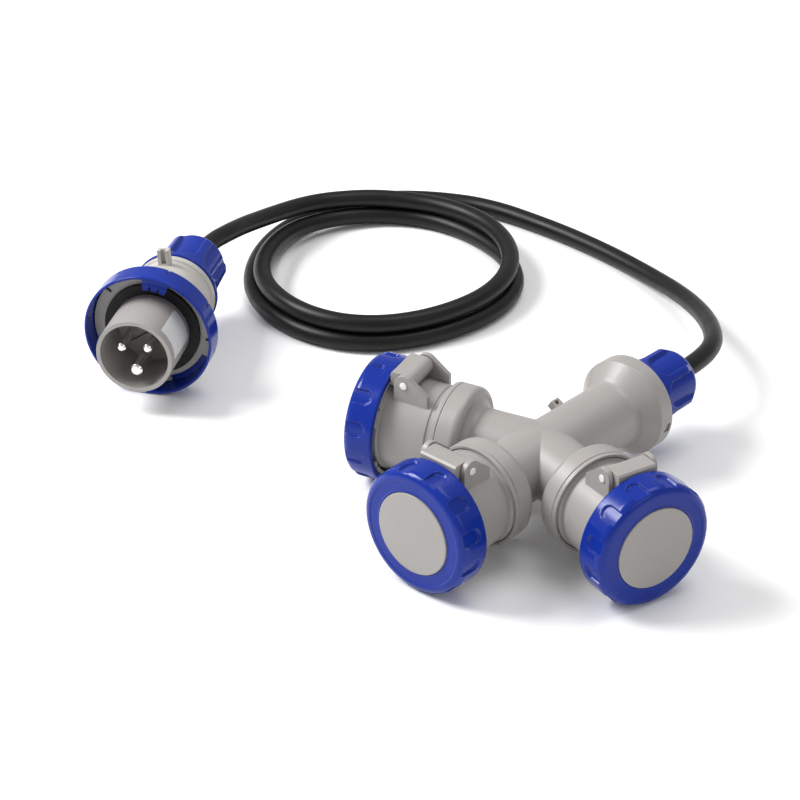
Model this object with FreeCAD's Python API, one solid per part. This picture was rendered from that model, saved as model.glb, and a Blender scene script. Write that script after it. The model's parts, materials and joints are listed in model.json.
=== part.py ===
"""Three-way industrial socket adapter with a flexible lead and a plug, in millimetres.

Row frame: +Z up, +Y along the stem towards the cable gland, origin on the floor under the
centre of the adapter's own box. The lead and its plug lie beside the adapter on the same floor.
Each outlet is drawn along +X from the hub and then turned to its arm.
"""
import FreeCAD, Part
import math
import os

V = FreeCAD.Vector
os.makedirs("parts", exist_ok=True)

# ---- driving dimensions -------------------------------------------------------------------
RING_R = 34.2          # outer radius of a lid's bayonet ring: the adapter stands on three of them
FRONT = 100.6          # hub centre to the front of a closed lid
GLAND_END = 117.0      # hub centre to the end of the gland nut
ARM_ANGLE = 74.0       # side arms from the front arm
ARM_R = 18.2           # outside of the arms and the stem
WALL = 2.6             # moulded wall
BELL_R = 28.0          # outside of the bell at an arm's end
BELL_REAR, BELL_FRONT = 41.5, 53.0
STEM_BELL_R = 27.1
STEM_BELL_FRONT, STEM_BELL_END = 69.0, 77.9

MOUTH = 88.0           # hub centre to an outlet's mouth
COLLAR_IN = 23.0       # bore of the collar, clear of a 44 mm plug sleeve
COLLAR_R = 25.0        # outside of the collar at the bell, growing towards the mouth
LIP_R = 27.0           # rim round the mouth
BOSS_R = 19.0          # contact carrier
BOSS_FRONT = 82.4
PIN_CIRCLE = 8.75      # contacts lie on this radius
PHASE_R, EARTH_R = 2.5, 3.5
BORE_GAP = 0.05        # contact tube over its pin, on the radius
SHANK_STEP = 0.4       # a plug pin's shank is this much under its mating radius
LUG_R = 29.8           # bayonet lugs on the mouth's rim

HINGE_U, HINGE_W = 73.2, 30.85     # hinge pin, along the outlet and above its axis
HINGE_HALF = 15.5      # half length of the pin
PIN_R = 1.6
KNUCKLE_R, KNUCKLE_HALF = 4.8, 11.5
EAR_R, EAR_IN, EAR_OUT = 5.6, 12.0, 14.8

DISC_R = 22.6          # grey face of the lid
RING_WALL_R = 31.4     # inside of the ring
RING_REAR = 82.9
SKIRT_REAR = 83.1      # rear edge of the lid's skirt
HOOK_IN = 28.4
HOOK_REAR, HOOK_FRONT = 84.5, 85.9
HOOK_SPAN = 30.0
UNLOCK_TURN = 40.0     # the ring's hooks rest this far from the lugs

CABLE_R = 5.5
CORE_R = 1.6
PLUG_RING_R = 37.4
SLEEVE_R, SLEEVE_IN = 22.0, 19.7
PLUG_DIRECTION = -60.6             # the plug's sleeve points this way in plan
PLUG_RIM = (-228.9, -77.5)         # centre of its rim, from the hub
PLUG_ROLL = 4.5                    # turned this far about its axis, as it lies
PLUG_NUT_FRONT, PLUG_NUT_END = 77.9, 124.0

HUB_Y = (FRONT - GLAND_END) / 2
HUB_Z = RING_R


# ---- helpers ------------------------------------------------------------------------------
def turned(outline):
    """A solid of revolution about X. The outline lists (along, radius) points; a point that
    comes with a second pair is the end of an arc through the first."""
    points = [p if len(p) == 2 else p[2:] for p in outline]
    edges = []
    for i, entry in enumerate(outline):
        a = V(points[i - 1][0], 0, points[i - 1][1])
        b = V(points[i][0], 0, points[i][1])
        if len(entry) == 4:
            edges.append(Part.Arc(a, V(entry[0], 0, entry[1]), b).toShape())
        else:
            edges.append(Part.LineSegment(a, b).toShape())
    return Part.Face(Part.Wire(edges)).revolve(V(0, 0, 0), V(1, 0, 0), 360)


def tube(u0, u1, outer, inner=0.0, v=0.0, w=0.0):
    """A cylinder or pipe along X from u0 to u1."""
    solid = Part.makeCylinder(outer, u1 - u0, V(u0, v, w), V(1, 0, 0))
    if inner:
        solid = solid.cut(Part.makeCylinder(inner, u1 - u0, V(u0, v, w), V(1, 0, 0)))
    return solid


def block(u0, u1, v0, v1, w0, w1):
    return Part.makeBox(u1 - u0, v1 - v0, w1 - w0, V(u0, v0, w0))


def sector(u0, u1, r0, r1, middle, span):
    """A piece of a ring about X, centred on an angle that is counted from +Y towards +Z."""
    face = tube(u0, u1, r1, r0)
    reach = 2 * r1
    half = math.radians(span / 2)
    wedge = [V(u0 - 1, 0, 0)]
    for k in range(5):
        a = math.radians(middle) - half + k * half / 2
        wedge.append(V(u0 - 1, reach * math.cos(a), reach * math.sin(a)))
    prism = Part.Face(Part.makePolygon(wedge + [wedge[0]])).extrude(V(u1 - u0 + 2, 0, 0))
    return face.common(prism)


def side_plate(outline, v0, v1):
    """A plate with its outline in the plane of X and Z, between two places along Y."""
    points = [V(u, v0, w) for u, w in outline]
    return Part.Face(Part.makePolygon(points + [points[0]])).extrude(V(0, v1 - v0, 0))


def joined(shapes):
    solid = shapes[0]
    for other in shapes[1:]:
        solid = solid.fuse(other)
    return solid.removeSplitter()


def placed(shape, angle, x, y, z):
    """Turn a shape about Z at its own origin, then move that origin to a place."""
    out = shape.copy()
    out.rotate(V(0, 0, 0), V(0, 0, 1), angle)
    out.translate(V(x, y, z))
    return out


def bar(a, b, radius):
    a, b = V(*a), V(*b)
    return Part.makeCylinder(radius, (b - a).Length, a, b - a)


def contact_places():
    """Name, place across the outlet and pin radius of the three contacts, earth lowest."""
    side = PIN_CIRCLE * math.cos(math.radians(30))
    up = PIN_CIRCLE * math.sin(math.radians(30))
    return [("line", -side, up, PHASE_R), ("neutral", side, up, PHASE_R),
            ("earth", 0.0, -PIN_CIRCLE, EARTH_R)]


def export(name, shape, place=None):
    if place:
        shape = placed(shape, *place)
    assert shape.isValid(), name
    shape.exportStep("parts/" + name + ".step")


# ---- moulded body -------------------------------------------------------------------------
def arm_bell():
    return turned([(0, 0), (0, ARM_R), (32.5, ARM_R), (36.6, 19.3, 38.3, 23.0),
                   (39.2, 26.6, BELL_REAR + 1.3, BELL_R), (50.0, BELL_R), (50.0, 27.6),
                   (50.6, 27.6), (50.6, BELL_R), (BELL_FRONT, BELL_R), (BELL_FRONT, 0)])


def arm_cavity():
    inner = ARM_R - WALL
    return turned([(0, 0), (0, inner), (37.2, inner), (41.8, 24.2), (43.9, 24.2),
                   (43.9, 26.0), (52.0, 26.0), (BELL_FRONT, 26.6), (BELL_FRONT + 1, 26.6),
                   (BELL_FRONT + 1, 0)])


def stem():
    return turned([(0, 0), (0, ARM_R), (56.5, ARM_R), (58.9, 18.9, 60.6, 20.4), (68.2, 26.4),
                   (68.7, 26.9, STEM_BELL_FRONT + 0.6, STEM_BELL_R), (STEM_BELL_END, STEM_BELL_R),
                   (STEM_BELL_END, 0)])


def stem_cavity():
    inner = ARM_R - WALL
    return turned([(0, 0), (0, inner), (61.6, inner), (69.9, 24.6), (STEM_BELL_END + 1, 24.6),
                   (STEM_BELL_END + 1, 0)])


def latch_window(grow=0.0):
    """The square opening in the stem's bell that shows the entry plate's latch."""
    window = block(72.4 - grow, 76.4 + grow, -2.6 - grow, 2.6 + grow, 22.0, 30.0)
    window.rotate(V(0, 0, 0), V(1, 0, 0), 99)
    return window


def body_housing():
    angles = [-90 - ARM_ANGLE, -90, -90 + ARM_ANGLE]
    outside = joined([placed(arm_bell(), a, 0, 0, 0) for a in angles]
                     + [placed(stem(), 90, 0, 0, 0)])
    inside = joined([placed(arm_cavity(), a, 0, 0, 0) for a in angles]
                    + [placed(stem_cavity(), 90, 0, 0, 0)])
    shell = outside.cut(inside)
    shell = shell.cut(placed(latch_window(), 90, 0, 0, 0))
    eye = block(30.0, 36.0, -2.2, 2.2, ARM_R - 1.2, ARM_R + 4.4)
    eye = eye.cut(Part.makeCylinder(1.3, 6, V(33.0, -3, ARM_R + 2.2), V(0, 1, 0)))
    eye.rotate(V(0, 0, 0), V(1, 0, 0), -60)
    return shell.fuse(placed(eye, 90, 0, 0, 0)).removeSplitter()


def entry_plate():
    """Closes the stem and carries the gland's thread."""
    plate = turned([(70.3, 6.3), (70.3, 24.5), (77.6, 24.5), (77.6, 13.4), (96.0, 13.4),
                    (96.0, 6.3)])
    latch = latch_window(-0.3).common(tube(70, 78, 26.2, 22))
    return plate.fuse(latch).removeSplitter()


def gland_nut():
    nut = turned([(78.1, 13.7), (78.1, 19.0), (80.5, 19.4), (110.5, 18.6),
                  (114.6, 17.2, 115.6, 13.5), (GLAND_END, 9.4), (GLAND_END, 6.0), (113.5, 6.0),
                  (107.5, 11.2), (107.5, 13.7)])
    for k in range(6):
        flat = block(90, 130, -6.4, 6.4, 16.4, 30)
        flat.rotate(V(0, 0, 0), V(1, 0, 0), 60 * k + 18)
        nut = nut.cut(flat)
    return nut


def splice(level):
    return Part.makeCylinder(5.6, 4.6, V(0, 0, level - 2.3))


def cores():
    """The insulated conductors between the lead's end, the splices and the outlets."""
    levels = {"line": 6.6, "neutral": 0.0, "earth": -6.6}
    out = {}
    for name, v, w, _ in contact_places():
        level = levels[name]
        group = [bar((v * 0.4, 63.6, w * 0.36), (v * 0.3, 5.6, level), CORE_R)]
        for angle in (-90 - ARM_ANGLE, -90, -90 + ARM_ANGLE):
            run = bar((5.6, v * 0.2, level), (39.2, v, w), CORE_R)
            group.append(placed(run, angle, 0, 0, 0))
        out[name] = Part.makeCompound([g.cut(splice(level)) for g in group])
    return levels, out


# ---- outlets ------------------------------------------------------------------------------
def ear(v0, v1):
    """A hinge ear: round about the pin, sloping down behind it to the collar."""
    slope = [(HINGE_U + EAR_R, 21.0), (HINGE_U + EAR_R, HINGE_W),
             (HINGE_U, HINGE_W), (HINGE_U - 3.6, HINGE_W + 4.29), (59.4, 27.0), (59.4, 17.0),
             (HINGE_U + EAR_R, 17.0)]
    plate = side_plate(slope, v0, v1)
    knob = Part.makeCylinder(EAR_R, v1 - v0, V(HINGE_U, v0, HINGE_W), V(0, 1, 0))
    return plate.fuse(knob)


def socket_housing():
    collar = turned([(44.0, COLLAR_IN), (44.0, 25.9), (47.0, 25.9), (47.0, 24.6), (49.2, 24.6),
                     (49.2, 25.9), (52.6, 25.9), (53.6, 24.4), (56.4, 24.4),
                     (57.0, COLLAR_R), (83.0, 26.0), (83.6, LIP_R), (MOUTH - 0.6, LIP_R),
                     (MOUTH, LIP_R - 0.6), (MOUTH, COLLAR_IN)])
    ears = [ear(EAR_IN, EAR_OUT), ear(-EAR_OUT, -EAR_IN)]
    lugs = [sector(86.1, MOUTH, LIP_R - 0.8, LUG_R, a, HOOK_SPAN) for a in (0, 180)]
    solid = joined([collar] + ears + lugs)
    solid = solid.cut(tube(40, 95, COLLAR_IN))
    solid = solid.cut(block(52, 90, -3.2, 3.2, -24.3, -20))
    bore = Part.makeCylinder(PIN_R, 40, V(HINGE_U, -20, HINGE_W), V(0, 1, 0))
    return solid.cut(bore)


def housing_seal():
    return tube(47.1, 49.1, 25.95, 24.6)


def contact_carrier():
    solid = turned([(46.0, 0), (46.0, 22.9), (51.0, 22.9), (51.0, BOSS_R), (81.6, BOSS_R),
                    (BOSS_FRONT, 18.2), (BOSS_FRONT, 0)])
    for _, v, w, r in contact_places():
        solid = solid.cut(tube(45, 90, r + 1.3, 0, v, w))
    return solid


def contact(v, w, r):
    """A brass sleeve contact: bored for its pin, solid behind, with a wire stub."""
    sleeve = tube(46.0, BOSS_FRONT - 1.0, r + 1.3, 0, v, w).cut(
        tube(51.0, BOSS_FRONT, r + BORE_GAP, 0, v, w))
    return sleeve.fuse(tube(39.8, 46.0, 2.6, 0, v, w)).removeSplitter()


def contact_screws():
    """Clamp screws across the wire stubs."""
    group = []
    for _, v, w, _ in contact_places():
        out = V(0, v, w).normalize()
        group.append(Part.makeCylinder(1.4, 2.4, V(43.0, v, w) + out * 2.6, out))
    return Part.makeCompound(group)


def hinge_pin():
    return Part.makeCylinder(PIN_R, 2 * HINGE_HALF, V(HINGE_U, -HINGE_HALF, HINGE_W), V(0, 1, 0))


def lid_spring():
    """A close-wound torsion spring round the pin, with one leg hooked towards an ear."""
    wire, inner, turns = 0.9, 1.9, 8
    outline = [(0, inner), (0, inner + 0.5)]
    for k in range(turns):
        outline.append(((k + 0.5) * wire, inner + wire, (k + 1) * wire, inner + 0.5))
    coil = turned(outline + [(turns * wire, inner)])
    coil.rotate(V(0, 0, 0), V(0, 0, 1), 90)
    coil.translate(V(HINGE_U, -turns * wire / 2, HINGE_W))
    leg = Part.makeCylinder(0.4, 5.4, V(HINGE_U, 3.0, HINGE_W + inner + 0.42), V(0, 1, 0))
    return coil.fuse(leg)


def lid():
    """The cap: a plate with a skirt round the mouth, an arm over it and a barrel for the pin.
    The skirt has windows for the ring's hooks, gaps to lift off over the lugs, and slits."""
    solid = turned([(SKIRT_REAR, 28.7), (SKIRT_REAR, 30.8), (96.6, 30.8), (96.6, 20.2),
                    (98.6, 20.2), (98.6, 0), (92.0, 0), (92.0, 22.9), (90.4, 22.9), (90.4, 28.7)])
    for side in (0, 180):
        window = sector(HOOK_REAR - 0.3, MOUTH + 0.4, 28.0, 32.0, side - UNLOCK_TURN / 2, 76)
        solid = solid.cut(window)
    for middle in (-3, 183):
        solid = solid.cut(sector(80, MOUTH + 0.4, 28.0, 32.0, middle, 42))
    for middle in (38, 142, 212, 236, 270, 304, 328):
        solid = solid.cut(sector(80, 84.0, 28.0, 32.0, middle, 3))
    knuckle = Part.makeCylinder(KNUCKLE_R, 2 * KNUCKLE_HALF, V(HINGE_U, -KNUCKLE_HALF, HINGE_W),
                                V(0, 1, 0))
    top = HINGE_W + KNUCKLE_R
    arm = side_plate([(HINGE_U, 27.7), (91.0, 27.7), (91.0, 32.0), (82.4, 32.0), (82.4, top - 1.0),
                      (81.4, top), (HINGE_U, top)], -KNUCKLE_HALF, KNUCKLE_HALF)
    arm = arm.cut(tube(82.4, 95, 60, 30.8)).cut(tube(90.4, 95, 28.7))
    solid = joined([knuckle, arm, solid])
    solid = solid.cut(Part.makeCylinder(PIN_R + 0.06, 40, V(HINGE_U, -20, HINGE_W), V(0, 1, 0)))
    spring_chamber = Part.makeCylinder(3.1, 16.0, V(HINGE_U, -4.0, HINGE_W), V(0, 1, 0))
    return solid.cut(spring_chamber)


def lid_gasket():
    return turned([(88.3, 23.4), (88.3, 26.8), (90.3, 27.4), (90.3, 23.4)])


def lid_face():
    """The grey disc that snaps on the lid's boss and keeps the ring on it."""
    return turned([(98.7, 0), (98.7, DISC_R - 0.1), (100.2, DISC_R - 0.1), (FRONT, DISC_R - 0.5),
                   (FRONT, 0)])


def lid_ring():
    shell = turned([(RING_REAR, RING_WALL_R), (RING_REAR, RING_R - 0.5), (83.4, RING_R),
                    (96.2, RING_R), (99.4, 33.4, FRONT - 0.2, 30.6), (FRONT - 0.2, DISC_R + 0.2),
                    (98.4, DISC_R + 0.2), (98.4, 20.6), (97.0, 20.6), (97.0, RING_WALL_R)])
    hooks = [sector(HOOK_REAR, HOOK_FRONT, HOOK_IN, RING_WALL_R + 0.5, a - UNLOCK_TURN, HOOK_SPAN)
             for a in (0, 180)]
    shell = joined([shell] + hooks)
    for k in range(12):
        cut = block(87, 97.5, -3.6, 3.6, RING_R - 0.9, RING_R + 3)
        cut.rotate(V(0, 0, 0), V(1, 0, 0), 30 * k + 15)
        shell = shell.cut(cut)
    return shell


# ---- plug ---------------------------------------------------------------------------------
def behind(distance):
    """Along the plug's own X axis, whose zero is the sleeve's rim and whose +X points out."""
    return -distance


def rolled(shape):
    """A plug part turned about the plug's axis, the way the whole plug lies."""
    return shape.rotated(V(0, 0, 0), V(1, 0, 0), PLUG_ROLL)


def plug_sleeve():
    sleeve = tube(behind(37.2), 0, SLEEVE_R, SLEEVE_IN)
    flange = tube(behind(37.2), behind(35.4), 34.8, SLEEVE_IN)
    for middle in (-54, 226):
        flange = flange.cut(sector(behind(38), behind(35), 31.4, 36, middle, 48))
    for middle in (-11.5, 38, 136):
        flange = flange.cut(sector(behind(38), behind(35), 31.0, 36, middle, 3))
    key = block(behind(37.2), behind(3.0), -3.0, 3.0, -24.0, -21.0).cut(tube(behind(40), 1, 21))
    return joined([sleeve, flange, key])


def plug_gasket():
    return tube(behind(35.4), behind(33.0), 27.9, SLEEVE_R).cut(
        block(behind(36), behind(32), -3.1, 3.1, -24.2, -20))


def plug_ring():
    shell = turned([(behind(39.2), 30.6), (behind(39.2), PLUG_RING_R - 1.0),
                    (behind(38.2), PLUG_RING_R - 0.2), (behind(24.6), PLUG_RING_R),
                    (behind(24.2), PLUG_RING_R - 0.4), (behind(24.2), 35.8), (behind(37.6), 35.2),
                    (behind(37.6), 30.6)])
    lugs = [sector(behind(34.6), behind(25.4), HOOK_IN, 35.9, a, 26) for a in (81, 261)]
    return joined([shell] + lugs)


def plug_carrier():
    disc = tube(behind(46.0), behind(33.0), SLEEVE_IN)
    for _, v, w, r in contact_places():
        disc = disc.cut(tube(behind(50), 0, r - SHANK_STEP, 0, v, w))
    for k in range(3):
        groove = block(behind(35.0), behind(32.0), -0.7, 0.7, 3.0, 21.0)
        groove.rotate(V(0, 0, 0), V(1, 0, 0), 120 * k)
        disc = disc.cut(groove)
    return disc


def plug_pin(v, w, r):
    """A pin whose shank through the carrier is a little thinner than the part that mates."""
    tip = behind(1.5) if r == PHASE_R else behind(0.4)
    pin = tube(behind(33.0), tip - 1.0, r, 0, v, w)
    pin = pin.fuse(tube(behind(52.0), behind(33.0), r - SHANK_STEP, 0, v, w))
    point = Part.makeCone(r, r - 1.0, 1.0, V(tip - 1.0, v, w), V(1, 0, 0))
    return pin.fuse(point).removeSplitter()


def plug_body():
    """The plug's handle, with the release tab that stands up from it."""
    shell = turned([(behind(37.2), 20.6), (behind(37.2), 30.0), (behind(41.0), 30.0),
                    (behind(43.0), 26.4), (behind(64.0), 24.4), (behind(70.5), 23.0),
                    (behind(73.0), 23.0), (behind(73.8), 24.2), (behind(77.4), 24.2),
                    (behind(77.4), 13.4), (behind(98.0), 13.4), (behind(98.0), 6.3),
                    (behind(74.0), 6.3), (behind(68.0), 20.6)])
    tab = block(behind(69.5), behind(65.0), -3.4, 3.4, 20.7, 33.5)
    tab = tab.cut(block(behind(67.2), behind(65.0), -1.4, 1.4, 25.0, 34.0))
    return joined([shell, tab])


def plug_nut():
    """A gland nut with a stepped flange and six flats."""
    nut = turned([(behind(PLUG_NUT_FRONT), 13.7), (behind(PLUG_NUT_FRONT), 24.9),
                  (behind(81.6), 24.9), (behind(83.4), 21.4), (behind(116.0), 19.3),
                  (behind(120.6), 17.6, behind(121.6), 14.0), (behind(PLUG_NUT_END), 9.4),
                  (behind(PLUG_NUT_END), 6.0), (behind(119.5), 6.0), (behind(112.0), 11.2),
                  (behind(112.0), 13.7)])
    for k in range(6):
        flat = block(behind(130), behind(90), -6.4, 6.4, 17.2, 30)
        flat.rotate(V(0, 0, 0), V(1, 0, 0), 60 * k - 12)
        nut = nut.cut(flat)
    return nut


def plug_label():
    return sector(behind(29), behind(5), SLEEVE_R, SLEEVE_R + 0.25, 18, 50)


# ---- lead ---------------------------------------------------------------------------------
def cord_tube(points):
    """Straight runs joined by tangent arcs, each arc as large as its two runs allow."""
    points = [V(*p) for p in points]
    edges, start, radii = [], points[0], []
    for before, corner, after in zip(points, points[1:], points[2:]):
        a, b = (corner - before), (after - corner)
        reach = 0.45 * min(a.Length, b.Length)
        a.normalize()
        b.normalize()
        turn = a.getAngle(b)
        first, last = corner - a * reach, corner + b * reach
        radius = reach / math.tan(turn / 2)
        inward = (b - a).normalize()
        middle = corner + inward * (radius / math.cos(turn / 2) - radius)
        edges.append(Part.LineSegment(start, first).toShape())
        edges.append(Part.Arc(first, middle, last).toShape())
        start = last
        radii.append(round(radius))
    edges.append(Part.LineSegment(start, points[-1]).toShape())
    path = Part.Wire(edges)
    ring = Part.Wire(Part.makeCircle(CABLE_R, points[0], points[1] - points[0]))
    solid = path.makePipeShell([ring], True, False)
    wanted = math.pi * CABLE_R ** 2 * path.Length
    print("lead run", round(path.Length), "mm, arcs", radii, "volume", round(solid.Volume / wanted, 4))
    return solid


# From the hub in plan, and above the floor: out of the gland, down, and along to the coil.
GLAND_LEAD = [(0, GLAND_END, HUB_Z), (0, 139, HUB_Z), (-7.5, 163, 32.0), (-25, 186, 26.2),
              (-49, 209, 19.2), (-79, 229, 12.4), (-112, 243, 7.4), (-148, 251, 5.9),
              (-185, 254, 5.7), (-218, 253, 5.8), (-240, 250.5, 6.2)]
# Out of the plug's nut, down and over the coil's left side, after a straight start.
PLUG_LEAD = [(-306.8, 65, 34.6), (-313.4, 85.5, 30.2), (-318.4, 107, 25.2),
             (-321.4, 130, 20.6), (-321.8, 152, 17.6), (-318.6, 172, 16.6)]
PLUG_LEAD_START = 18.0


def plug_axis_point(distance):
    """A point on the plug's axis, counted back from its rim."""
    a = math.radians(PLUG_DIRECTION)
    return (PLUG_RIM[0] - distance * math.cos(a), PLUG_RIM[1] - distance * math.sin(a), PLUG_RING_R)


def lying(points):
    return [(x, y + HUB_Y, z) for x, y, z in points]


def oval(x, y, half_x, half_y):
    """An upright oval face, longer across the row's Y than its X."""
    edge = Part.Ellipse(V(0, 0, 0), half_y, half_x).toShape()
    face = Part.Face(Part.Wire(edge))
    return placed(face, 90, x, y, 0)


def cord_coil():
    """The outer shape of the loose turns: a flat oval ring, two leads high."""
    outer = oval(-240, 154 + HUB_Y, 91, 103)
    inner = oval(-238, 139 + HUB_Y, 58, 62)
    ring = outer.extrude(V(0, 0, 4 * CABLE_R - 0.4)).cut(inner.extrude(V(0, 0, 4 * CABLE_R)))
    ring.translate(V(0, 0, 0.2))
    return ring


# ---- assembly -----------------------------------------------------------------------------
HUB = (0, 0, HUB_Y, HUB_Z)
STEM = (90, 0, HUB_Y, HUB_Z)
OUTLETS = {"a": -90 - ARM_ANGLE, "b": -90, "c": -90 + ARM_ANGLE}

export("body_housing", body_housing(), HUB)
export("entry_plate", entry_plate(), STEM)
export("gland_nut", gland_nut(), STEM)
export("gland_seal", turned([(96.2, CABLE_R), (96.2, 12.4), (105.0, 12.4), (107.4, 10.8),
                             (107.4, CABLE_R)]), STEM)
export("gland_clamp", turned([(107.6, CABLE_R), (107.6, 10.4), (112.4, 6.3),
                              (112.4, CABLE_R)]), STEM)
export("entry_cable", tube(64.0, GLAND_END, CABLE_R), STEM)

core_levels, core_groups = cores()
for core_name, level in core_levels.items():
    export("splice_" + core_name, splice(level), HUB)
    export("core_" + core_name, core_groups[core_name], HUB)

for key, angle in OUTLETS.items():
    here = (angle, 0, HUB_Y, HUB_Z)
    export("socket_housing_" + key, socket_housing(), here)
    export("housing_seal_" + key, housing_seal(), here)
    export("contact_carrier_" + key, contact_carrier(), here)
    sleeves = [contact(v, w, r) for _, v, w, r in contact_places()]
    export("contacts_" + key, Part.makeCompound(sleeves), here)
    export("contact_screws_" + key, contact_screws(), here)
    export("hinge_pin_" + key, hinge_pin(), here)
    export("lid_spring_" + key, lid_spring(), here)
    export("lid_" + key, lid(), here)
    export("lid_gasket_" + key, lid_gasket(), here)
    export("lid_face_" + key, lid_face(), here)
    export("lid_ring_" + key, lid_ring(), here)

plug_place = (PLUG_DIRECTION, PLUG_RIM[0], PLUG_RIM[1] + HUB_Y, PLUG_RING_R)
export("plug_sleeve", rolled(plug_sleeve()), plug_place)
export("plug_gasket", rolled(plug_gasket()), plug_place)
export("plug_ring", plug_ring(), plug_place)
export("plug_carrier", rolled(plug_carrier()), plug_place)
for pin_name, pin_v, pin_w, pin_r in contact_places():
    export("plug_pin_" + pin_name, rolled(plug_pin(pin_v, pin_w, pin_r)), plug_place)
export("plug_body", rolled(plug_body()), plug_place)
export("plug_nut", plug_nut(), plug_place)
export("plug_seal", turned([(behind(111.8), CABLE_R), (behind(111.8), 10.8),
                            (behind(109.4), 12.4), (behind(98.2), 12.4),
                            (behind(98.2), CABLE_R)]), plug_place)
export("plug_cable_end", tube(behind(PLUG_NUT_END), behind(62), CABLE_R), plug_place)
export("plug_label", rolled(plug_label()), plug_place)

export("cord_gland_run", cord_tube(lying(GLAND_LEAD)))
straight_start = [plug_axis_point(PLUG_NUT_END), plug_axis_point(PLUG_NUT_END + PLUG_LEAD_START)]
export("cord_plug_run", cord_tube(lying(straight_start + PLUG_LEAD)))
export("cord_coil", cord_coil())
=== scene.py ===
import json
import math

import bmesh
import bpy
import numpy as np
from mathutils import Matrix, Vector


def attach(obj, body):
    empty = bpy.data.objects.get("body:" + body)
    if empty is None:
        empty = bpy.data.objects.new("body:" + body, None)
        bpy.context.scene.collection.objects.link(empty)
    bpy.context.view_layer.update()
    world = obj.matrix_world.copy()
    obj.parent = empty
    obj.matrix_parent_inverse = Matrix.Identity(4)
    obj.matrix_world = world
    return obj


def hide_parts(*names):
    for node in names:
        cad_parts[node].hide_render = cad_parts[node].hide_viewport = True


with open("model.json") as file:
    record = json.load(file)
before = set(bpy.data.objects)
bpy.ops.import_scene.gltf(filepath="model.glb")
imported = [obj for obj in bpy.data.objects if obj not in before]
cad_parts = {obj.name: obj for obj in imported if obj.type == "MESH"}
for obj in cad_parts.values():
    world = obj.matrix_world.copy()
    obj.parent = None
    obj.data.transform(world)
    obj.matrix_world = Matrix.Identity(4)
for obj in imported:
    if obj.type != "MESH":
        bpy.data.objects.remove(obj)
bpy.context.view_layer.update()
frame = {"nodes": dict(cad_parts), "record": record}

MM = 0.001
JOINTS = {joint["name"]: joint for joint in frame["record"]["behaviour"]["joints"]}
OUTLETS = "abc"

# ---- sizes, in millimetres ------------------------------------------------------------------
RING_PIVOT = 90.0        # the ring's joint sits this far out from the hub
PLUG_PIVOT = 31.0        # the plug ring's joint sits this far behind the sleeve's rim
RING_R = 34.2
RING_REAR = 82.9
RING_FRONT = 100.4
RING_WALL_R = 31.4
RING_GRIPS, RING_GRIP_DEPTH = 12, 1.15
HOOK_REAR, HOOK_FRONT, HOOK_R = 84.5, 85.9, 28.4
HOOK_TURN, HOOK_SPAN = -40, 30       # degrees: where a ring's first hook is, and how long
DISC_R = 22.5
DISC_FRONT, DISC_REAR = 100.9, 98.8
DOME_R, DOME_RISE = 20.0, 0.25
HINGE_U, HINGE_W = 73.2, 30.85       # the hinge's axis: out along the arm, and up
EAR_OUT = 14.8
PIN_R, PIN_HEAD_R, PIN_HEAD = 1.58, 2.1, 0.8
CABLE_R = 5.5
FLOOR_LEAD = 5.55        # height of a lead that lies on the floor
BORE_R = 6.0             # the hole in a nut for the cable
NUT_GRIPS, NUT_GRIP_HALF, NUT_GRIP_EDGE = 6, 7.2, 0.9
PLUG_RING_R = 37.4
PLUG_RING_REAR, PLUG_RING_FRONT = -39.2, -24.2
PLUG_LUGS = (81, 261)                # degrees round the plug's ring
LUG_RIBS = (-9.3, 0, 9.3)            # degrees from a lug's middle
SLITS, SLIT_FIRST, SLIT_DEPTH = 8, 0.12, 0.6


# ---- places ---------------------------------------------------------------------------------
def place_from(joint_name, back):
    """A local frame on a joint's axis: its direction in plan, and the point that lies the
    given distance back along the axis."""
    axis = Vector(JOINTS[joint_name]["axis"])
    start = Vector(JOINTS[joint_name]["pos_m"]) - axis * back * MM
    return math.atan2(axis.y, axis.x), start


OUTLET_PLACE = {key: place_from(f"ring_{key}_lock", RING_PIVOT) for key in OUTLETS}
HUB = OUTLET_PLACE["b"][1]
STEM_PLACE = (math.pi / 2, HUB)
PLUG_PLACE = place_from("plug_ring_lock", -PLUG_PIVOT)


def in_row(points, place):
    """Local millimetres to the row's metres: turned about Z by the place's direction, then
    moved to its point."""
    angle, start = place
    x, y, z = np.moveaxis(np.asarray(points, float), -1, 0)
    c, s = math.cos(angle), math.sin(angle)
    return np.stack([x * c - y * s, x * s + y * c, z], axis=-1) * MM + np.array(start)


# ---- surfaces -------------------------------------------------------------------------------
def rounded(corners, step=1.0, closed=True, arc=6):
    """An outline of (along, radius, rounding) corners as points: each corner becomes an arc
    that touches both of its sides, and each side is divided into steps."""
    count = len(corners)
    points = []
    for i in range(count):
        here = np.array(corners[i][:2], float)
        size = corners[i][2] if len(corners[i]) > 2 else 0.0
        if (not closed and i in (0, count - 1)) or size == 0.0:
            points.append([here])
            continue
        back = np.array(corners[i - 1][:2], float) - here
        ahead = np.array(corners[(i + 1) % count][:2], float) - here
        back, ahead = back / np.linalg.norm(back), ahead / np.linalg.norm(ahead)
        half = math.acos(np.clip(back @ ahead, -1, 1)) / 2
        centre = here + (back + ahead) / np.linalg.norm(back + ahead) * size / math.sin(half)
        first = here + back * size / math.tan(half) - centre
        last = here + ahead * size / math.tan(half) - centre
        share = np.linspace(0, 1, arc + 1)[:, None]
        sweep = math.pi - 2 * half
        swept = np.sin((1 - share) * sweep) * first + np.sin(share * sweep) * last
        points.append(list(centre + swept / math.sin(sweep)))
    out = []
    for i in range(count if closed else count - 1):
        a, b = points[i][-1], points[(i + 1) % count][0]
        pieces = max(1, math.ceil(np.linalg.norm(b - a) / step))
        out.extend(points[i])
        out.extend(a + (b - a) * k / pieces for k in range(1, pieces))
    if not closed:
        out.extend(points[-1])
    return np.array(out)


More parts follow.
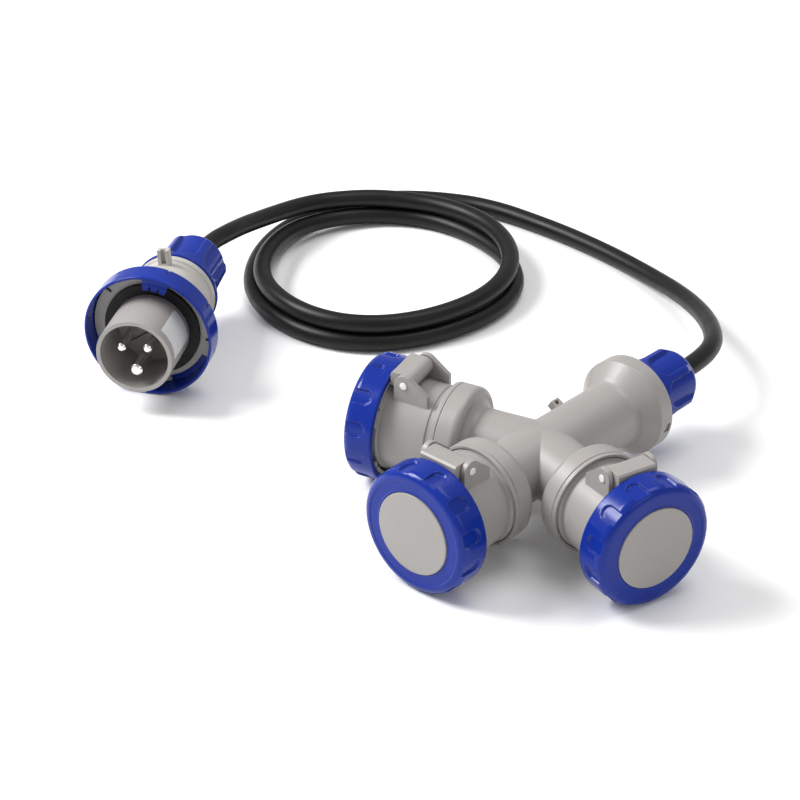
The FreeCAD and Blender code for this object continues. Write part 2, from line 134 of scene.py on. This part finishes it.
def spun(outline, turns=192, relief=None):
    """An outline turned about X: x = along, y = r cos(angle), z = r sin(angle). Relief takes
    along, r and the angle as whole arrays and gives the new r."""
    angle = np.linspace(0, 2 * math.pi, turns, endpoint=False)[None, :]
    along = outline[:, :1] + 0 * angle
    r = outline[:, 1:] + 0 * angle
    if relief:
        r = relief(along, r, angle + 0 * along)
    return np.stack([along, r * np.cos(angle), r * np.sin(angle)], axis=-1)


def mesh_of(name, grids, closed=True, smooth=35.0):
    """Grids of row points as one mesh. Each grid closes round its second direction, and round
    its first too if closed says so."""
    vertices, faces, start = [], [], 0
    for grid in grids:
        rows, columns = grid.shape[:2]
        i = np.arange(rows if closed else rows - 1)[:, None]
        j = np.arange(columns)[None, :]
        at = lambda a, b: start + (a % rows) * columns + b % columns
        quads = np.stack([at(i, j), at(i + 1, j), at(i + 1, j + 1), at(i, j + 1)], axis=-1)
        vertices.append(grid.reshape(-1, 3))
        faces.append(quads.reshape(-1, 4))
        start += rows * columns
    mesh = bpy.data.meshes.new(name)
    mesh.from_pydata(np.concatenate(vertices).tolist(), [], np.concatenate(faces).tolist())
    work = bmesh.new()
    work.from_mesh(mesh)
    bmesh.ops.remove_doubles(work, verts=work.verts, dist=1e-6)
    bmesh.ops.dissolve_degenerate(work, edges=work.edges, dist=1e-7)
    bmesh.ops.recalc_face_normals(work, faces=work.faces)
    work.to_mesh(mesh)
    work.free()
    mesh.shade_smooth()
    mesh.set_sharp_from_angle(angle=math.radians(smooth))
    piece = bpy.data.objects.new(name, mesh)
    bpy.context.collection.objects.link(piece)
    return piece


def finish_piece(piece, material, slot, body, *nodes):
    """Gives a piece its material, its body and the nodes that it stands for. The slot is not used.
    """
    piece.data.materials.append(material)
    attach(piece, body)
    if nodes:
        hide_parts(*nodes)


def soft_step(value, low, high):
    """0 under low and 1 over high, with a smooth rise between."""
    t = np.clip((value - low) / (high - low), 0, 1)
    return t * t * (3 - 2 * t)


def finger_grips(count, half_width, closed_end, floor_r, opens=1, edge=0.45, first=0.0):
    """Relief of U-shaped grips round a turned piece. Each is open towards one end, and its
    floor is a cylinder of its own radius. The distance to the U's edge is across - half_width,
    and round its closed end it is the distance to the end's centre less half_width."""
    pitch = 2 * math.pi / count

    def relief(along, r, angle):
        across = ((angle - first + pitch / 2) % pitch - pitch / 2) * floor_r
        past = (along - closed_end) * opens - half_width
        outside = np.where(past < 0, np.hypot(past, across), np.abs(across)) - half_width
        inside = soft_step(-outside, 0.0, edge)
        return r - inside * np.maximum(r - floor_r, 0)

    return relief


# ---- shading --------------------------------------------------------------------------------
def add(tree, kind, values=None, **settings):
    """A new node with its settings, and with values for its inputs by name."""
    node = tree.nodes.new(kind)
    for key, value in settings.items():
        setattr(node, key, value)
    for key, value in (values or {}).items():
        node.inputs[key].default_value = value
    return node


def link(tree, *pairs):
    for a, b in pairs:
        tree.links.new(a, b)


def moulded_surface():
    """The surface that every moulding shares: a fine grain, a slow drift of tone, and edges that
    are rounded and painted a little paler, a painted highlight along with slight wear. It puts out
    a colour, a roughness and a normal."""
    group = bpy.data.node_groups.new("moulded_surface", "ShaderNodeTree")
    face = group.interface
    for name, kind, value in (("Colour", "NodeSocketColor", (0.5, 0.5, 0.5, 1)),
                              ("Roughness", "NodeSocketFloat", 0.4),
                              ("Tone drift", "NodeSocketFloat", 0.05),
                              ("Grain size", "NodeSocketFloat", 2500.0),
                              ("Grain depth", "NodeSocketFloat", 0.1),
                              ("Edge radius", "NodeSocketFloat", 0.0005),
                              ("Edge paleness", "NodeSocketFloat", 0.3)):
        face.new_socket(name, in_out="INPUT", socket_type=kind).default_value = value
    for name, kind in (("Colour", "NodeSocketColor"), ("Roughness", "NodeSocketFloat"),
                       ("Normal", "NodeSocketVector")):
        face.new_socket(name, in_out="OUTPUT", socket_type=kind)
    given = group.nodes.new("NodeGroupInput").outputs
    out = group.nodes.new("NodeGroupOutput").inputs
    place = add(group, "ShaderNodeTexCoord").outputs["Object"]
    # rounded edges, and how far the rounding turns the normal; that share paints the edges paler,
    # a painted highlight along with slight wear
    bevel = add(group, "ShaderNodeBevel", samples=4)
    flat = add(group, "ShaderNodeNewGeometry")
    turn = add(group, "ShaderNodeVectorMath", operation="DOT_PRODUCT")
    edge = add(group, "ShaderNodeMapRange", {"From Min": 0.995, "From Max": 0.8, "To Max": 1.0})
    edge_wear_highlight_share = add(group, "ShaderNodeMath", operation="MULTIPLY")
    # slow tone and fine grain
    slow = add(group, "ShaderNodeTexNoise", {"Scale": 28.0, "Detail": 4.0, "Roughness": 0.6})
    tone = add(group, "ShaderNodeMapRange", {"From Min": 0.3, "From Max": 0.7})
    low = add(group, "ShaderNodeMath", {0: 1.0}, operation="SUBTRACT")
    high = add(group, "ShaderNodeMath", {0: 1.0}, operation="ADD")
    toned = add(group, "ShaderNodeVectorMath", operation="SCALE")
    # painted highlight along with slight wear: the edges' colour is mixed towards a near white
    pale_edge_paint = add(group, "ShaderNodeMix", {"B": (0.9, 0.9, 0.92, 1)}, data_type="RGBA")
    fine = add(group, "ShaderNodeTexNoise", {"Detail": 3.0, "Roughness": 0.55})
    bump = add(group, "ShaderNodeBump", {"Distance": 0.00012})
    rub = add(group, "ShaderNodeTexNoise", {"Scale": 90.0, "Detail": 5.0, "Roughness": 0.7})
    rub_span = add(group, "ShaderNodeMapRange", {"From Min": 0.35, "From Max": 0.75,
                                                 "To Min": -0.03, "To Max": 0.07})
    rough = add(group, "ShaderNodeMath", operation="ADD", use_clamp=True)
    link(group, (given["Edge radius"], bevel.inputs["Radius"]),
         (bevel.outputs["Normal"], turn.inputs[0]), (flat.outputs["Normal"], turn.inputs[1]),
         (turn.outputs["Value"], edge.inputs["Value"]),
         (edge.outputs["Result"], edge_wear_highlight_share.inputs[0]),
         (given["Edge paleness"], edge_wear_highlight_share.inputs[1]),
         (place, slow.inputs["Vector"]), (slow.outputs["Fac"], tone.inputs["Value"]),
         (given["Tone drift"], low.inputs[1]), (given["Tone drift"], high.inputs[1]),
         (low.outputs["Value"], tone.inputs["To Min"]),
         (high.outputs["Value"], tone.inputs["To Max"]),
         (given["Colour"], toned.inputs["Vector"]),
         (tone.outputs["Result"], toned.inputs["Scale"]),
         (toned.outputs["Vector"], pale_edge_paint.inputs["A"]),
         (edge_wear_highlight_share.outputs["Value"], pale_edge_paint.inputs["Factor"]),
         (pale_edge_paint.outputs["Result"], out["Colour"]),
         (place, rub.inputs["Vector"]), (rub.outputs["Fac"], rub_span.inputs["Value"]),
         (rub_span.outputs["Result"], rough.inputs[0]), (given["Roughness"], rough.inputs[1]),
         (rough.outputs["Value"], out["Roughness"]),
         (place, fine.inputs["Vector"]), (given["Grain size"], fine.inputs["Scale"]),
         (fine.outputs["Fac"], bump.inputs["Height"]),
         (given["Grain depth"], bump.inputs["Strength"]),
         (bevel.outputs["Normal"], bump.inputs["Normal"]),
         (bump.outputs["Normal"], out["Normal"]))
    return group


MOULDED = moulded_surface()


def moulding(name, colour, roughness, drift=0.04, grain=2500.0, depth=0.1, edge=0.0005,
             edge_wear_highlight=0.25, **shader):
    """A material on the shared moulded surface. What is left over sets the shader's sockets."""
    material = bpy.data.materials.new(name)
    material.use_nodes = True
    tree = material.node_tree
    surface = tree.nodes["Principled BSDF"]
    for key, value in shader.items():
        surface.inputs[key.replace("_", " ")].default_value = value
    shared = add(tree, "ShaderNodeGroup", node_tree=MOULDED)
    # the edge paleness value paints the edges paler: a painted highlight along with slight wear
    for key, value in {"Colour": (*colour, 1), "Roughness": roughness, "Tone drift": drift,
                       "Grain size": grain, "Grain depth": depth, "Edge radius": edge,
                       "Edge paleness": edge_wear_highlight}.items():
        shared.inputs[key].default_value = value
    link(tree, (shared.outputs["Colour"], surface.inputs["Base Color"]),
         (shared.outputs["Roughness"], surface.inputs["Roughness"]),
         (shared.outputs["Normal"], surface.inputs["Normal"]))
    return material


# each edge paleness value sets how much the edges are painted paler, a painted highlight along
# with slight wear
MATERIALS = {
    "grey_plastic": moulding("grey_plastic", (0.30, 0.284, 0.272), 0.38, drift=0.03),
    "light_grey_plastic": moulding("light_grey_plastic", (0.42, 0.40, 0.375), 0.36, drift=0.03),
    "dark_grey_plastic": moulding("dark_grey_plastic", (0.11, 0.105, 0.10), 0.45),
    "blue_plastic": moulding("blue_plastic", (0.004, 0.022, 0.240), 0.17, drift=0.08, depth=0.03,
                             edge_wear_highlight=0.04, Specular_IOR_Level=0.24),
    "black_rubber": moulding("black_rubber", (0.005, 0.0045, 0.0045), 0.6, depth=0.3,
                             grain=1800.0, edge_wear_highlight=0.02, Specular_IOR_Level=0.3),
    "cable_jacket": moulding("cable_jacket", (0.004, 0.004, 0.004), 0.40, drift=0.15, depth=0.5,
                             grain=1400.0, edge=0.0, edge_wear_highlight=0.0, Specular_IOR_Level=0.26),
    "nickel_brass": moulding("nickel_brass", (0.80, 0.78, 0.74), 0.16, depth=0.02, Metallic=1.0),
    "steel": moulding("steel", (0.75, 0.75, 0.75), 0.24, depth=0.05, Metallic=1.0),
    "pin_head": moulding("pin_head", (0.78, 0.78, 0.77), 0.25, depth=0.02, Metallic=0.15),
    "core_brown": moulding("core_brown", (0.10, 0.035, 0.015), 0.3),
    "core_blue": moulding("core_blue", (0.02, 0.07, 0.35), 0.3),
    "core_earth": moulding("core_earth", (0.12, 0.35, 0.04), 0.3),
    "splice_plastic": moulding("splice_plastic", (0.7, 0.7, 0.68), 0.4),
    "label": moulding("label", (0.60, 0.60, 0.585), 0.3, depth=0.04, edge=0.0),
}


# ---- camera and lights ----------------------------------------------------------------------
LENS, SENSOR = 115.07, 36.0                  # millimetres
EYE = (0.7067, -0.9040, 0.7390)              # the camera's place, and its right and up
EYE_RIGHT = (0.74, 0.6726, 0.0082)
EYE_UP = (-0.3468, 0.3711, 0.8614)
LIT = (-0.1, 0.0, 0.03)                      # the point that every light faces
SURROUND = 0.50
# each light's name, place, size and power
LIGHTS = (("key", (-1.15, -0.75, 1.3), 0.8, 41),
          ("top", (0.1, 0.6, 1.9), 1.2, 13),
          ("side", (1.4, -0.1, 0.9), 0.7, 2))


def camera():
    """Looks down at the adapter from its front right, from well back."""
    data = bpy.data.cameras.new("camera")
    data.lens, data.sensor_width = LENS, SENSOR
    data.clip_end = 20.0
    right, up = Vector(EYE_RIGHT), Vector(EYE_UP)
    right.normalize()
    back = right.cross(up).normalized()
    up = back.cross(right)
    view = bpy.data.objects.new("camera", data)
    view.matrix_world = (Matrix.Translation(EYE)
                         @ Matrix((right, up, back)).transposed().to_4x4())
    bpy.context.collection.objects.link(view)
    bpy.context.scene.camera = view


def soft_light(name, position, size, power):
    """A large square light that faces the middle of the scene."""
    data = bpy.data.lights.new(name, "AREA")
    data.shape, data.size, data.energy = "SQUARE", size, power
    lamp = bpy.data.objects.new(name, data)
    lamp.location = position
    lamp.rotation_euler = (Vector(LIT) - Vector(position)).to_track_quat("-Z", "Y").to_euler()
    bpy.context.collection.objects.link(lamp)


def studio():
    """A white floor, an even white surround and three soft boxes."""
    world = bpy.data.worlds.new("surround")
    world.use_nodes = True
    background = world.node_tree.nodes["Background"].inputs
    background["Color"].default_value = (1, 1, 1, 1)
    background["Strength"].default_value = SURROUND
    bpy.context.scene.world = world
    bpy.context.scene.view_settings.view_transform = "Standard"
    for light in LIGHTS:
        soft_light(*light)
    bpy.ops.mesh.primitive_plane_add(size=12, location=(0, 0, -0.0003))
    floor = bpy.context.object
    floor.name = "floor"
    material = bpy.data.materials.new("floor")
    material.use_nodes = True
    surface = material.node_tree.nodes["Principled BSDF"].inputs
    surface["Base Color"].default_value = (0.93, 0.93, 0.93, 1)
    surface["Roughness"].default_value = 0.7
    floor.data.materials.append(material)


# ---- the lead -------------------------------------------------------------------------------
# Points in plan from the hub, and their heights: out of the gland, down and along to the coil.
GLAND_LEAD = [(0, 117, 34.2), (0, 139, 34.2), (-7.5, 163, 32.0), (-25, 186, 26.2),
              (-49, 209, 19.2), (-79, 229, 12.4), (-112, 243, 7.4), (-148, 251, 5.9),
              (-185, 254, 5.7), (-218, 253, 5.8), (-240, 250.5, 6.2), (-264, 245, 5.6)]
# The coil: its centre in plan from the hub, where its turns start, and what they pass through
# at each eighth of a turn: how far from the centre, and how high above a lead on the floor.
COIL_CENTRE = (-240, 135)
COIL_START = math.radians(120)
EIGHTH = math.radians(45)
EIGHTHS = [(106.2, 0), (87.0, 0), (77.2, 0), (82.7, 0), (90.3, 0), (85.1, 0), (86.0, 0),
           (79.3, 0), (79.6, 0), (74.2, 3.0), (68.7, 8.8), (78.2, 10.5), (87.6, 10.6),
           (81.8, 10.6), (81.6, 10.9), (81.9, 11.4), (80.4, 11.1)]
# From the coil's back left up over its left side and into the plug's nut.
PLUG_LEAD = [(-297, 192, 17.1), (-308.5, 177, 17.7), (-315.5, 161, 19.1), (-317.3, 144, 21.3),
             (-316, 126, 24.1), (-313.2, 107, 27.5), (-309.0, 88, 31.5), (-303.8, 70, 35.1)]
PLUG_NUT_END = -124.0                # where the lead goes in, and how far it is straight
PLUG_STRAIGHT = 18.0


def coil_turns(parts=3):
    """Two loose turns, anticlockwise: the first on the floor, the second climbing onto it. A
    Catmull-Rom curve runs through the eighths, in distance and height over the angle."""
    eighths = np.array(EIGHTHS[:1] + EIGHTHS + EIGHTHS[-1:], float)
    turns = []
    for k in range(len(EIGHTHS) - 1):
        before, here, ahead, beyond = eighths[k:k + 4]
        last = k == len(EIGHTHS) - 2
        for t in np.arange(parts + last) / parts:
            away, height = 0.5 * (2 * here + (ahead - before) * t
                                  + (2 * before - 5 * here + 4 * ahead - beyond) * t ** 2
                                  + (3 * here - before - 3 * ahead + beyond) * t ** 3)
            angle = COIL_START + (k + t) * EIGHTH
            turns.append((COIL_CENTRE[0] + away * math.cos(angle),
                          COIL_CENTRE[1] + away * math.sin(angle), FLOOR_LEAD + max(height, 0.0)))
    return turns


def lead(plug_pieces):
    """The whole rubber cable as one smooth line, from the gland to the plug it carries."""
    hub = np.array([0, HUB.y / MM, 0])
    points = (np.array(GLAND_LEAD + coil_turns() + PLUG_LEAD) + hub) * MM
    nut = in_row([(PLUG_NUT_END - PLUG_STRAIGHT, 0, 0), (PLUG_NUT_END, 0, 0)], PLUG_PLACE)
    points = np.concatenate([points, nut])
    data = bpy.data.curves.new("lead", "CURVE")
    data.dimensions = "3D"
    data.bevel_depth = CABLE_R * MM
    data.bevel_resolution = 8
    data.resolution_u = 8
    data.use_fill_caps = True
    spline = data.splines.new("NURBS")
    spline.points.add(len(points) - 1)
    spline.points.foreach_set("co", np.c_[points, np.ones(len(points))].ravel())
    spline.order_u = 3
    spline.use_endpoint_u = True
    piece = bpy.data.objects.new("lead", data)
    bpy.context.collection.objects.link(piece)
    finish_piece(piece, MATERIALS["cable_jacket"], "cable_jacket", "root",
                 "cord_gland_run", "cord_coil", "cord_plug_run")


camera()
studio()


# ---- outlets --------------------------------------------------------------------------------
def bayonet_ring(key):
    """The blue ring: a shoulder that rolls over into a stepped front, with grips cut in it,
    and hooks on its inner edge."""
    outline = rounded([(RING_REAR, RING_WALL_R, 0.3), (RING_REAR, RING_R, 0.9),
                       (RING_FRONT, RING_R, 4.6), (RING_FRONT, 29.2, 0.4), (100.1, 28.9, 0.3),
                       (100.1, 23.8, 0.3), (100.3, 23.5, 0.2), (100.3, DISC_R + 0.2, 0.2),
                       (98.5, DISC_R + 0.2, 0.2), (98.5, 20.6, 0.3), (97.0, 20.6, 0.3),
                       (97.0, RING_WALL_R, 0.5)], step=0.55, arc=7)
    grips = finger_grips(RING_GRIPS, 3.9, 87.3, RING_R - RING_GRIP_DEPTH,
                         first=math.radians(15))
    grids = [spun(outline, 480, grips)]
    grids += [hook(HOOK_REAR, HOOK_FRONT, HOOK_R, RING_WALL_R + 0.6, side + HOOK_TURN, HOOK_SPAN)
              for side in (0, 180)]
    piece = mesh_of(f"bayonet_ring_{key}", [in_row(grid, OUTLET_PLACE[key]) for grid in grids])
    finish_piece(piece, MATERIALS["blue_plastic"], "blue_plastic", f"ring_{key}",
                 f"lid_ring_{key}")


def hook(u0, u1, r0, r1, middle, span):
    """A curved block: a rounded cross-section in (along, radius) carried through an arc and
    drawn in to nothing at both ends."""
    section = rounded([(u0, r0, 0.4), (u1, r0, 0.4), (u1, r1, 0.2), (u0, r1, 0.2)], step=5, arc=3)
    share = np.array([0, 0, 0.02, 0.25, 0.5, 0.75, 0.98, 1, 1])
    size = np.array([0, 0.9, 1, 1, 1, 1, 1, 0.9, 0])[:, None]
    angle = np.radians(middle + (share - 0.5) * span)[:, None]
    centre = section.mean(axis=0)
    along = centre[0] + (section[None, :, 0] - centre[0]) * size
    r = centre[1] + (section[None, :, 1] - centre[1]) * size
    return np.stack([along, r * np.cos(angle), r * np.sin(angle)], axis=-1)


def cap_disc(key):
    """The grey disc on the cap: a faint dome with a rounded rim."""
    dome = [(DISC_FRONT + DOME_RISE * (1 - (r / DOME_R) ** 2), r)
            for r in np.linspace(0, DOME_R, 12)]
    rim = rounded([(DISC_FRONT, DOME_R), (DISC_FRONT, DISC_R, 0.5), (DISC_REAR, DISC_R)],
                  closed=False)
    outline = np.concatenate([dome[:-1], rim, [(DISC_REAR, 0.0)]])
    disc = in_row(spun(outline, 160), OUTLET_PLACE[key])
    piece = mesh_of(f"cap_disc_{key}", [disc], closed=False)
    finish_piece(piece, MATERIALS["grey_plastic"], "grey_plastic", f"lid_{key}", f"lid_face_{key}")


def pivot_pin(key):
    """The hinge pin across the ears, with a low domed head at each end."""
    head = EAR_OUT + 0.05
    top = head + PIN_HEAD
    outline = rounded([(-top, 0), (-top + 0.1, PIN_HEAD_R, 0.5), (-head, PIN_HEAD_R, 0.1),
                       (-head, PIN_R, 0.1), (head, PIN_R, 0.1), (head, PIN_HEAD_R, 0.1),
                       (top - 0.1, PIN_HEAD_R, 0.5), (top, 0)], closed=False, step=2)
    x, y, z = np.moveaxis(spun(outline, 40), -1, 0)
    across = np.stack([HINGE_U + y, x, HINGE_W + z], axis=-1)
    piece = mesh_of(f"pivot_pin_{key}", [in_row(across, OUTLET_PLACE[key])], closed=False)
    finish_piece(piece, MATERIALS["pin_head"], "steel", "root", f"hinge_pin_{key}")


for key in OUTLETS:
    bayonet_ring(key)
    cap_disc(key)
    pivot_pin(key)


# ---- gland on the stem ----------------------------------------------------------------------
def gland_cap():
    """The blue gland nut: six grips open towards the cable, and a domed end with a bore."""
    outline = rounded([(78.1, 13.7, 0.2), (78.1, 19.2, 0.5), (108.5, 18.9, 2.6),
                       (115.2, 15.4, 1.8), (117.0, 10.2, 0.8), (117.0, BORE_R, 0.4),
                       (113.5, BORE_R, 0.4), (107.5, 11.2, 0.4), (107.5, 13.7, 0.4)], step=0.6)
    grips = finger_grips(NUT_GRIPS, NUT_GRIP_HALF, 88.5, 16.6, first=math.radians(-14),
                         edge=NUT_GRIP_EDGE)
    piece = mesh_of("gland_cap", [in_row(spun(outline, 400, grips), STEM_PLACE)])
    finish_piece(piece, MATERIALS["blue_plastic"], "blue_plastic", "root", "gland_nut")


gland_cap()


# ---- plug -----------------------------------------------------------------------------------
def plug_bayonet_ring():
    """The plug's thin blue ring: short slits round its back, and lugs with three ribs inside."""
    outline = rounded([(PLUG_RING_REAR, 30.6, 0.3), (PLUG_RING_REAR, PLUG_RING_R, 1.4),
                       (PLUG_RING_FRONT, PLUG_RING_R, 0.7), (PLUG_RING_FRONT, 35.8, 0.6),
                       (-37.6, 35.2, 0.4), (-37.6, 30.6, 0.3)], step=0.5)

    def slits(along, r, angle):
        pitch = 2 * math.pi / SLITS
        across = np.abs((angle - SLIT_FIRST) % pitch - pitch / 2) * PLUG_RING_R
        slit = soft_step(-across, -0.6, -0.25) * soft_step(-along, 32.5, 33.2)
        return np.where(r > 36.0, r - SLIT_DEPTH * slit, r)

    grids = [spun(outline, 720, slits)]
    for side in PLUG_LUGS:
        grids.append(hook(-34.6, -25.6, 30.4, 35.9, side, 26))
        grids += [hook(-34.2, -25.2, 28.5, 31.4, side + turn, 6.6) for turn in LUG_RIBS]
    piece = mesh_of("plug_bayonet_ring", [in_row(grid, PLUG_PLACE) for grid in grids])
    finish_piece(piece, MATERIALS["blue_plastic"], "blue_plastic", "plug_ring", "plug_ring")
    return piece


def plug_cap():
    """The plug's gland nut: a stepped flange, a waist and six grips open to the cable."""
    outline = rounded([(-77.9, 13.7, 0.2), (-77.9, 24.9, 0.5), (-80.2, 24.9, 0.4),
                       (-80.4, 23.9, 0.2), (-82.0, 23.9, 0.5), (-83.2, 21.0, 0.9),
                       (-115.0, 19.8, 2.4), (-121.2, 15.8, 1.8), (PLUG_NUT_END, 10.2, 0.9),
                       (PLUG_NUT_END, BORE_R, 0.4), (-119.5, BORE_R, 0.4), (-112.0, 11.2, 0.4),
                       (-112.0, 13.7, 0.4)], step=0.6)
    grips = finger_grips(NUT_GRIPS, NUT_GRIP_HALF, -89.0, 17.4, opens=-1,
                         first=math.radians(29), edge=NUT_GRIP_EDGE)
    piece = mesh_of("plug_cap", [in_row(spun(outline, 340, grips), PLUG_PLACE)])
    finish_piece(piece, MATERIALS["blue_plastic"], "blue_plastic", "root", "plug_nut")
    return piece


lead([plug_bayonet_ring(), plug_cap()])

# ---- what stays from the frame --------------------------------------------------------------
SLOTS = {part["node"]: part["material_slot"] for part in frame["record"]["subparts"]}
for node, shape in frame["nodes"].items():
    shape.data.materials.clear()
    shape.data.materials.append(MATERIALS[SLOTS[node]])
